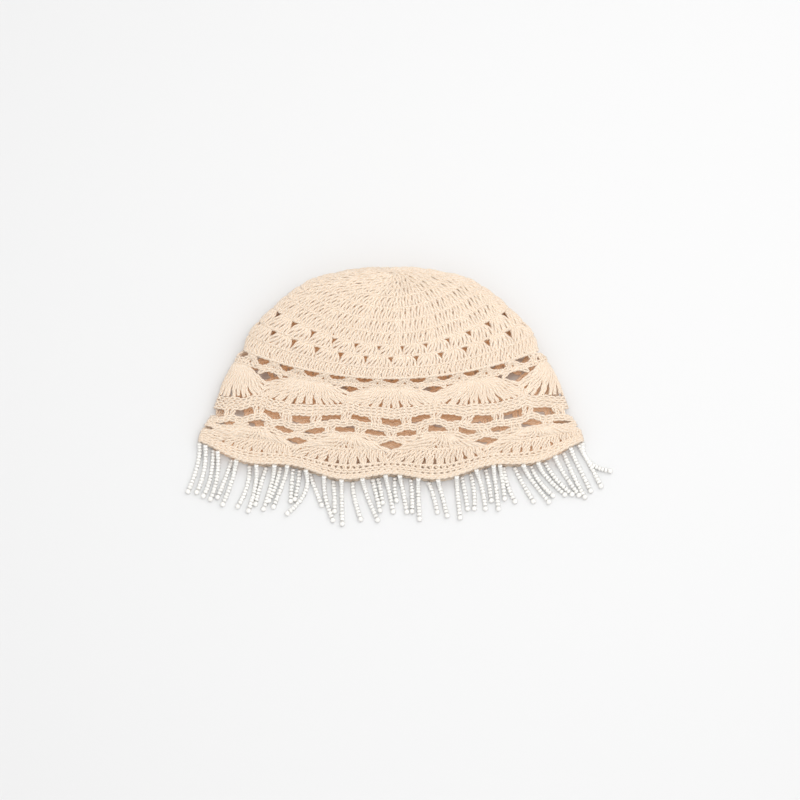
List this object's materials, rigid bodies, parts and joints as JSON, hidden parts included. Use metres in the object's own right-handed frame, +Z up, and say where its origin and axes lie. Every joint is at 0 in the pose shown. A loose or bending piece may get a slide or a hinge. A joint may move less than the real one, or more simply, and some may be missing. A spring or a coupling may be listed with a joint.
{
  "type": "crocheted skull cap with bead fringe",
  "caption": "Openwork crocheted skull cap lying flat, with a plain crown, tiers of shell fans and a fringe of bead strings along its hem.",
  "frame": {"origin": "middle of the whole object's footprint, on the table that it lies on", "axes": "+X along the flat hem, +Y from the hem towards the crown, +Z up from the table"},
  "size_m": [0.301, 0.1828, 0.0465],
  "materials": {
    "cream_cotton": "matte mercerised cotton yarn",
    "pearl_white_beads": "pearl gloss"
  },
  "bodies": {
    "root": {"crochet_cap": "cream_cotton", "bead_fringe": "pearl_white_beads"}
  },
  "joints": []
}
